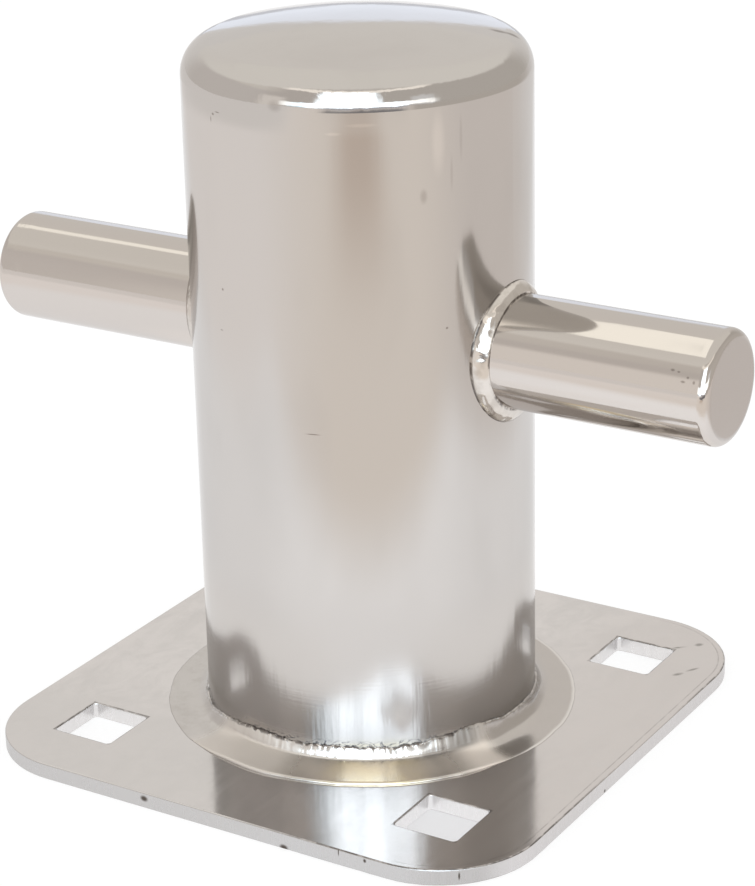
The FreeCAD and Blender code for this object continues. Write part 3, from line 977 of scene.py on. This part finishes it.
# Directions in degrees: bearings are from the camera's side, to its right, and heights are above level.
# A pair is a soft edge, from where it starts to where it ends.
LOW_WALL_TOP = (31.0, 37.0)
LEFT_WALL_FROM = (-48.0, -78.0)
RIGHT_WALL_FROM = (0.0, 30.0)
SIDE_GLOW_BEARINGS = ((-70.0, -62.0), (-44.0, -52.0))
SIDE_GLOW_TOP = (27.0, 20.0)
RIGHT_GLOW_BEARINGS = ((32.0, 38.0), (54.0, 47.0))
RIGHT_GLOW_TOP = (26.0, 20.0)
WALL_TOP_AT_SIDES = 38.0
WALL_TOP_HIGHER_AHEAD = 19.0
CEILING_FROM = (45.0, 70.0)
BACK_FROM = (130.0, 158.0)
GLOW_TOP = 16.5
GLOW_FALLS = (0.165, 0.10)
CORNICE_HEIGHTS = ((44.0, 46.0), (53.0, 50.0))
CORNICE_REACH = (68.0, 52.0)
SILL_HEIGHTS = ((0.0, 2.0), (15.0, 11.0))
SILL_REACH = (54.0, 44.0)
UNDER_WINDOW_REACH = (42.0, 25.0)
PELMET_HEIGHTS = ((44.0, 47.0), (62.0, 55.0))
PELMET_BEARINGS = ((-30.0, -20.0), (20.0, 14.0))
SHADE_HEIGHTS = ((23.5, 26.5), (45.0, 38.0))
SHADE_REACH = ((58.0, 72.0), (176.0, 168.0))
SHADE_DEEPER = (118.0, 134.0)
SHADE_DEPTHS = (0.22, 0.40)
WINDOW_LEFT = -39.0
WINDOW_LEFT_FROM_PLATE = -34.0
WINDOW_RIGHT = (36.0, 24.0)
WINDOW_HEIGHTS = ((-3.0, 1.0), (48.0, 44.0))
WINDOW_SHOULDER = 33.0
SHOULDER_FROM_CAP = 13.0
TRANSOM_BEARINGS = ((-30.0, -20.0), (18.0, 8.0))
WINDOW_EDGE = (-38.0, -27.0)

# Each gap between curtains: its bearing, how far it reaches to each side, and how much darker it is.
CURTAIN_GAPS = ((-11.0, 5.0, 0.45), (12.0, 8.0, 0.30))

# The room meets a ray of depth 2 after one mirror, and of depth 3 or more after several.
SECOND_MIRROR = (2.4, 2.6)
SECOND_MIRROR_LEVEL = 0.93

# Places on the floor in metres, ahead of the post, beside it and all round it. Bearings are in degrees.
FLOOR_FRONT_FROM = (-70.0, -15.0)
FLOOR_RIGHT_FROM = (30.0, 75.0)
FLOOR_BACK_RIGHT_FROM = (105.0, 145.0)
FLOOR_BEHIND_FROM = (158.0, 170.0)
DEEP_AHEAD = (0.24, 0.46)
DEEP_ASIDE = (0.17, 0.03)
DEEP_FADES = (0.45, 0.49)
FAR_RIGHT_BEARINGS = ((28.0, 38.0), (160.0, 120.0))
FAR_RIGHT_REACH = (0.62, 0.80)
FAR_LEFT_FROM = (-38.0, -50.0)
FAR_LEFT_REACH = (0.44, 0.60)
BELOW_WINDOW_BEARINGS = ((-26.0, -18.0), (33.0, 27.0))
BELOW_WINDOW_REACH = (1.0, 1.6)
FLOOR_EDGE_REACH = ((0.54, 0.61), (1.3, 0.85))
PAPER_AHEAD = (0.165, 0.100)
PAPER_ASIDE = (0.26, 0.165)
PAPER_NARROWER_RIGHT = 1.22
PAPER_SIDE_FROM = (30.0, 75.0)
NEAR_BEARINGS = (10.0, 40.0)
NEAR_REACH = (0.10, 0.075)
HOLE_MIDDLE = (HOLE_PLACE * MM, -HOLE_PLACE * MM, 0.0)
HOLE_SHADE_REACH = (12 * MM, 9 * MM)
FLOOR_RADIUS = 3.0

# Each lamp: its name, where it is on the ceiling, its size in metres, and how bright it is.
LAMP_COLOUR = (1.0, 0.985, 0.885)
CEILING_HEIGHT = 1.6
LAMPS = (
    ("strip_lamp", (-0.653, 0.11), (0.15, 1.22), 0.62),
    ("small_lamp", (-1.17, 0.385), (0.34, 0.25), 0.55),
)
FLAG_LEFT, FLAG_RIGHT = -0.085, -0.018
FLAG_NEAR, FLAG_FAR = -0.07, 0.03
FLAG_HEIGHT = 0.2


def level_parts(tree, direction):
    """How far a direction, made level, points towards the camera, and to its right, from -1 to 1."""
    inputs = {"Vector": direction, "Axis": (0, 0, 1), "Angle": -CAMERA_HEADING}
    turned = add(tree, "ShaderNodeVectorRotate", inputs, rotation_type="AXIS_ANGLE").outputs[0]
    unit = vector(tree, "NORMALIZE", vector(tree, "MULTIPLY", turned, (1, 1, 0)))
    parts = parts_of(tree, unit)
    return calc(tree, "MULTIPLY", parts["Y"], -1.0), parts["X"]


def bearing_of(tree, direction):
    """The bearing of a direction in degrees, 0 towards the camera."""
    near_camera, to_right = level_parts(tree, direction)
    return calc(tree, "MULTIPLY", calc(tree, "ARCTAN2", to_right, near_camera), 180 / math.pi)


def within(tree, value, rise, fall):
    """1 between two soft edges, 0 outside them."""
    return both(tree, ease(tree, value, *rise), ease(tree, value, *fall))


def by_mirrors(tree, once, again):
    """One value in what the steel mirrors straight, and another in what it mirrors by way of more steel."""
    depth = add(tree, "ShaderNodeLightPath").outputs["Ray Depth"]
    return ease(tree, depth, *SECOND_MIRROR, once, again)


def ray_kinds(tree):
    """1 for what is mirrored, and 1 for what the camera sees straight."""
    ray = add(tree, "ShaderNodeLightPath").outputs
    mirrored = calc(tree, "MAXIMUM", ray["Is Glossy Ray"], ray["Is Transmission Ray"])
    return mirrored, ray["Is Camera Ray"]


def window_share(tree, bearing, height):
    """1 in the window and 0 outside, and its level, with darker folds where the curtains meet."""
    left_edge = by_mirrors(tree, WINDOW_LEFT, WINDOW_LEFT_FROM_PLATE)
    across = both(tree, ease(tree, calc(tree, "SUBTRACT", bearing, left_edge), -10.0, 10.0),
                  ease(tree, bearing, *WINDOW_RIGHT))
    above = within(tree, bearing, *TRANSOM_BEARINGS)
    shoulder = by_mirrors(tree, SHOULDER_FROM_CAP, WINDOW_SHOULDER)
    low = ease(tree, calc(tree, "SUBTRACT", height, shoulder), 2.0, -2.0)
    across = both(tree, across, calc(tree, "MAXIMUM", above, low))
    up = within(tree, height, *WINDOW_HEIGHTS)
    folds = add(tree, "ShaderNodeCombineXYZ", {"X": bearing}).outputs[0]
    level = ease(tree, grain(tree, folds, 0.22, 2.0, 0.6), 0.3, 0.7, 0.68, 1.15)
    for middle, reach, depth in CURTAIN_GAPS:
        level = both(tree, level, ease(tree, apart(tree, bearing, middle), 0.0, reach, 1.0 - depth, 1.0))
    return both(tree, across, up), both(tree, level, by_mirrors(tree, 1.0, SECOND_MIRROR_LEVEL))


def room_behind(tree, bearing, height, off_front):
    """The side away from the camera: a low bright glow with a curved top, and plain wall above it."""
    glow = tint(tree, ease(tree, height, 2.0, 0.5), GLOW_BEHIND, HORIZON_BEHIND)
    off_back = calc(tree, "SUBTRACT", 180.0, off_front)
    fall = both(tree, off_back, off_back, ease(tree, bearing, -1.0, 1.0, *GLOW_FALLS))
    over_glow = calc(tree, "ADD", height, fall)
    wall = tint(tree, ease(tree, height, GLOW_TOP, GLOW_TOP + 2.0), LOW_BEHIND, WALL_BEHIND)
    return tint(tree, ease(tree, over_glow, GLOW_TOP - 1.0, GLOW_TOP + 1.5), glow, wall)


def room_colour(tree, direction):
    """The room in a direction, from its walls to the window in front of them."""
    height = calc(tree, "MULTIPLY", calc(tree, "ARCSINE", parts_of(tree, direction)["Z"]), 180 / math.pi)
    bearing = bearing_of(tree, direction)
    off_front = calc(tree, "ABSOLUTE", bearing)

    left_wall = tint(tree, ease(tree, height, *LOW_WALL_TOP), WALL_LEFT_LOW, WALL_LEFT)
    room = tint(tree, ease(tree, bearing, *LEFT_WALL_FROM), WALL_FRONT, left_wall)
    room = tint(tree, ease(tree, bearing, *RIGHT_WALL_FROM), room, WALL_RIGHT)
    side_glow = both(tree, within(tree, bearing, *SIDE_GLOW_BEARINGS), ease(tree, height, *SIDE_GLOW_TOP))
    room = tint(tree, side_glow, room, SIDE_GLOW)
    right_glow = both(tree, within(tree, bearing, *RIGHT_GLOW_BEARINGS), ease(tree, height, *RIGHT_GLOW_TOP))
    room = tint(tree, right_glow, room, RIGHT_GLOW)
    ahead = calc(tree, "COSINE", calc(tree, "RADIANS", off_front))
    wall_top = calc(tree, "ADD", calc(tree, "MULTIPLY", ahead, WALL_TOP_HIGHER_AHEAD), WALL_TOP_AT_SIDES)
    over_wall = calc(tree, "SUBTRACT", height, wall_top)
    room = tint(tree, ease(tree, over_wall, -2.0, 4.0), room, CEILING)
    room = tint(tree, ease(tree, off_front, *BACK_FROM), room, room_behind(tree, bearing, height, off_front))
    room = tint(tree, ease(tree, height, *CEILING_FROM), room, CEILING)

    cornice = both(tree, within(tree, height, *CORNICE_HEIGHTS), ease(tree, off_front, *CORNICE_REACH))
    room = tint(tree, cornice, room, CORNICE)
    sill = both(tree, within(tree, height, *SILL_HEIGHTS), ease(tree, off_front, *SILL_REACH))
    room = tint(tree, sill, room, SILL)
    below = both(tree, ease(tree, off_front, *UNDER_WINDOW_REACH), ease(tree, height, 0.0, -3.0))
    room = tint(tree, below, room, UNDER_WINDOW)
    pelmet = both(tree, within(tree, height, *PELMET_HEIGHTS), within(tree, bearing, *PELMET_BEARINGS),
                  by_mirrors(tree, 0.0, 1.0))
    room = tint(tree, pelmet, room, PELMET)
    shaded = both(tree, within(tree, height, *SHADE_HEIGHTS), within(tree, off_front, *SHADE_REACH),
                  ease(tree, off_front, *SHADE_DEEPER, *SHADE_DEPTHS), by_mirrors(tree, 0.0, 1.0))
    room = scaled(tree, room, calc(tree, "SUBTRACT", 1.0, shaded))

    share, level = window_share(tree, bearing, height)
    pane = tint(tree, ease(tree, bearing, *WINDOW_EDGE), WINDOW_EDGE_GLOW, WINDOW_GLOW)
    return tint(tree, share, room, scaled(tree, pane, level))


def surround():
    """White to the camera, a plain level on everything, and the room in reflections."""
    world = bpy.data.worlds.new("studio_surround")
    tree = cleared(world)
    room = room_colour(tree, add(tree, "ShaderNodeTexCoord").outputs["Generated"])
    mirrored, straight = ray_kinds(tree)
    plain = add(tree, "ShaderNodeBackground", {"Color": WHITE, "Strength": PLAIN_LEVEL}).outputs[0]
    seen = add(tree, "ShaderNodeBackground", {"Color": WHITE, "Strength": 1.0}).outputs[0]
    reflected = add(tree, "ShaderNodeBackground", {"Color": room, "Strength": 1.0}).outputs[0]
    light = add(tree, "ShaderNodeMixShader", {0: mirrored, 1: plain, 2: reflected}).outputs[0]
    light = add(tree, "ShaderNodeMixShader", {0: straight, 1: light, 2: seen}).outputs[0]
    add(tree, "ShaderNodeOutputWorld", {"Surface": light})
    return world


def floor_colour(tree, place):
    """The floor as the steel mirrors it: white paper under the fitting, and duller boards further out."""
    reach = vector(tree, "LENGTH", place)
    bearing = bearing_of(tree, place)
    off_front = calc(tree, "ABSOLUTE", bearing)
    ahead, right = level_parts(tree, place)
    ahead = calc(tree, "MULTIPLY", ahead, reach)
    aside = calc(tree, "ABSOLUTE", calc(tree, "MULTIPLY", right, reach))

    outer = tint(tree, ease(tree, bearing, *FLOOR_FRONT_FROM), FLOOR_LEFT, FLOOR_FRONT)
    outer = tint(tree, ease(tree, bearing, *FLOOR_RIGHT_FROM), outer, FLOOR_RIGHT)
    outer = tint(tree, ease(tree, bearing, *FLOOR_BACK_RIGHT_FROM), outer, FLOOR_BACK_RIGHT)
    outer = tint(tree, ease(tree, off_front, *FLOOR_BEHIND_FROM), outer, FLOOR_BEHIND)
    deep = both(tree, ease(tree, ahead, *DEEP_AHEAD), ease(tree, aside, *DEEP_ASIDE),
                ease(tree, ahead, *DEEP_FADES, 1.0, 0.6))
    outer = tint(tree, deep, outer, FLOOR_DEEP)
    far_right = both(tree, within(tree, bearing, *FAR_RIGHT_BEARINGS), ease(tree, reach, *FAR_RIGHT_REACH))
    outer = tint(tree, far_right, outer, FLOOR_FAR_RIGHT)
    far_left = both(tree, ease(tree, bearing, *FAR_LEFT_FROM), ease(tree, reach, *FAR_LEFT_REACH))
    outer = tint(tree, far_left, outer, FLOOR_FAR_LEFT)
    below_window = within(tree, bearing, *BELOW_WINDOW_BEARINGS)
    far_below = both(tree, below_window, ease(tree, reach, *BELOW_WINDOW_REACH))
    outer = tint(tree, far_below, outer, UNDER_WINDOW)
    dark_edge = both(tree, below_window, within(tree, reach, *FLOOR_EDGE_REACH))
    outer = tint(tree, dark_edge, outer, FLOOR_EDGE)

    to_side = calc(tree, "MULTIPLY", aside, ease(tree, bearing, 0.0, 30.0, 1.0, PAPER_NARROWER_RIGHT))
    paper = both(tree, ease(tree, ahead, *PAPER_AHEAD), ease(tree, to_side, *PAPER_ASIDE))
    sheet = tint(tree, ease(tree, off_front, *PAPER_SIDE_FROM), PAPER, PAPER_SIDE)
    base = tint(tree, paper, outer, sheet)
    beside = both(tree, ease(tree, off_front, *NEAR_BEARINGS), ease(tree, reach, *NEAR_REACH))
    return tint(tree, beside, base, FLOOR_NEAR)


def pale_floor():
    """White to the camera, with a soft shadow and a painted shadow seen through the front bolt hole."""
    material = bpy.data.materials.new("pale_floor")
    tree = cleared(material)
    place = add(tree, "ShaderNodeTexCoord").outputs["Object"]
    mirrored, straight = ray_kinds(tree)
    # A painted shadow on the floor under the front bolt hole.
    hole = vector(tree, "DISTANCE", place, HOLE_MIDDLE)
    seen = tint(tree, ease(tree, hole, *HOLE_SHADE_REACH), WHITE, UNDER_HOLE_SHADOW)
    colour = tint(tree, mirrored, seen, floor_colour(tree, place))
    glow = calc(tree, "MULTIPLY", calc(tree, "MAXIMUM", mirrored, straight), FLOOR_GLOW)
    matt = add(tree, "ShaderNodeBsdfDiffuse", {"Color": FLOOR_MATT}).outputs[0]
    lit = add(tree, "ShaderNodeEmission", {"Color": colour, "Strength": glow}).outputs[0]
    whole = add(tree, "ShaderNodeAddShader", {0: matt, 1: lit}).outputs[0]
    add(tree, "ShaderNodeOutputMaterial", {"Surface": whole})
    return material


def ceiling_lamp(name, place, size, glow):
    """A flat lamp that shines straight down, as bright as glow over its whole face."""
    lamp = bpy.data.lights.new(name, "AREA")
    lamp.shape = "RECTANGLE"
    lamp.size, lamp.size_y = size
    lamp.energy = glow * math.pi * size[0] * size[1]
    lamp.color = LAMP_COLOUR
    box = bpy.data.objects.new(name, lamp)
    box.location = (*place, CEILING_HEIGHT)
    box.visible_camera = False
    bpy.context.scene.collection.objects.link(box)


bpy.context.scene.world = surround()

bpy.ops.mesh.primitive_circle_add(vertices=96, radius=FLOOR_RADIUS, fill_type="NGON", location=(0, 0, 0))
floor = bpy.context.object
floor.name = "studio_floor"
floor.data.materials.append(pale_floor())

for name, place, size, glow in LAMPS:
    ceiling_lamp(name, place, size, glow)

# A small card over the post keeps the lamps' reflections off the cap.
flag_paint = bpy.data.materials.new("flag_paint")
flag_tree = cleared(flag_paint)
flag_light = add(flag_tree, "ShaderNodeEmission", {"Color": CEILING}).outputs[0]
add(flag_tree, "ShaderNodeOutputMaterial", {"Surface": flag_light})
corners = ((FLAG_LEFT, FLAG_NEAR), (FLAG_RIGHT, FLAG_NEAR), (FLAG_RIGHT, FLAG_FAR), (FLAG_LEFT, FLAG_FAR))
flag_mesh = bpy.data.meshes.new("lamp_flag")
flag_mesh.from_pydata([(*corner, FLAG_HEIGHT) for corner in corners], [], [(0, 1, 2, 3)])
flag_mesh.materials.append(flag_paint)
flag = bpy.data.objects.new("lamp_flag", flag_mesh)
bpy.context.scene.collection.objects.link(flag)
flag.visible_camera = flag.visible_diffuse = flag.visible_shadow = False

camera_data = bpy.data.cameras.new("photo_camera")
camera_data.lens = CAMERA_LENS
camera = bpy.data.objects.new("photo_camera", camera_data)
camera.matrix_world = (
    Matrix.Translation(CAMERA_PLACE)
    @ Matrix.Rotation(CAMERA_HEADING, 4, "Z")
    @ Matrix.Rotation(math.pi / 2 - CAMERA_PITCH, 4, "X")
    @ Matrix.Rotation(CAMERA_ROLL, 4, "Z")
)
bpy.context.scene.collection.objects.link(camera)
bpy.context.scene.camera = camera
bpy.context.scene.view_settings.view_transform = "Standard"
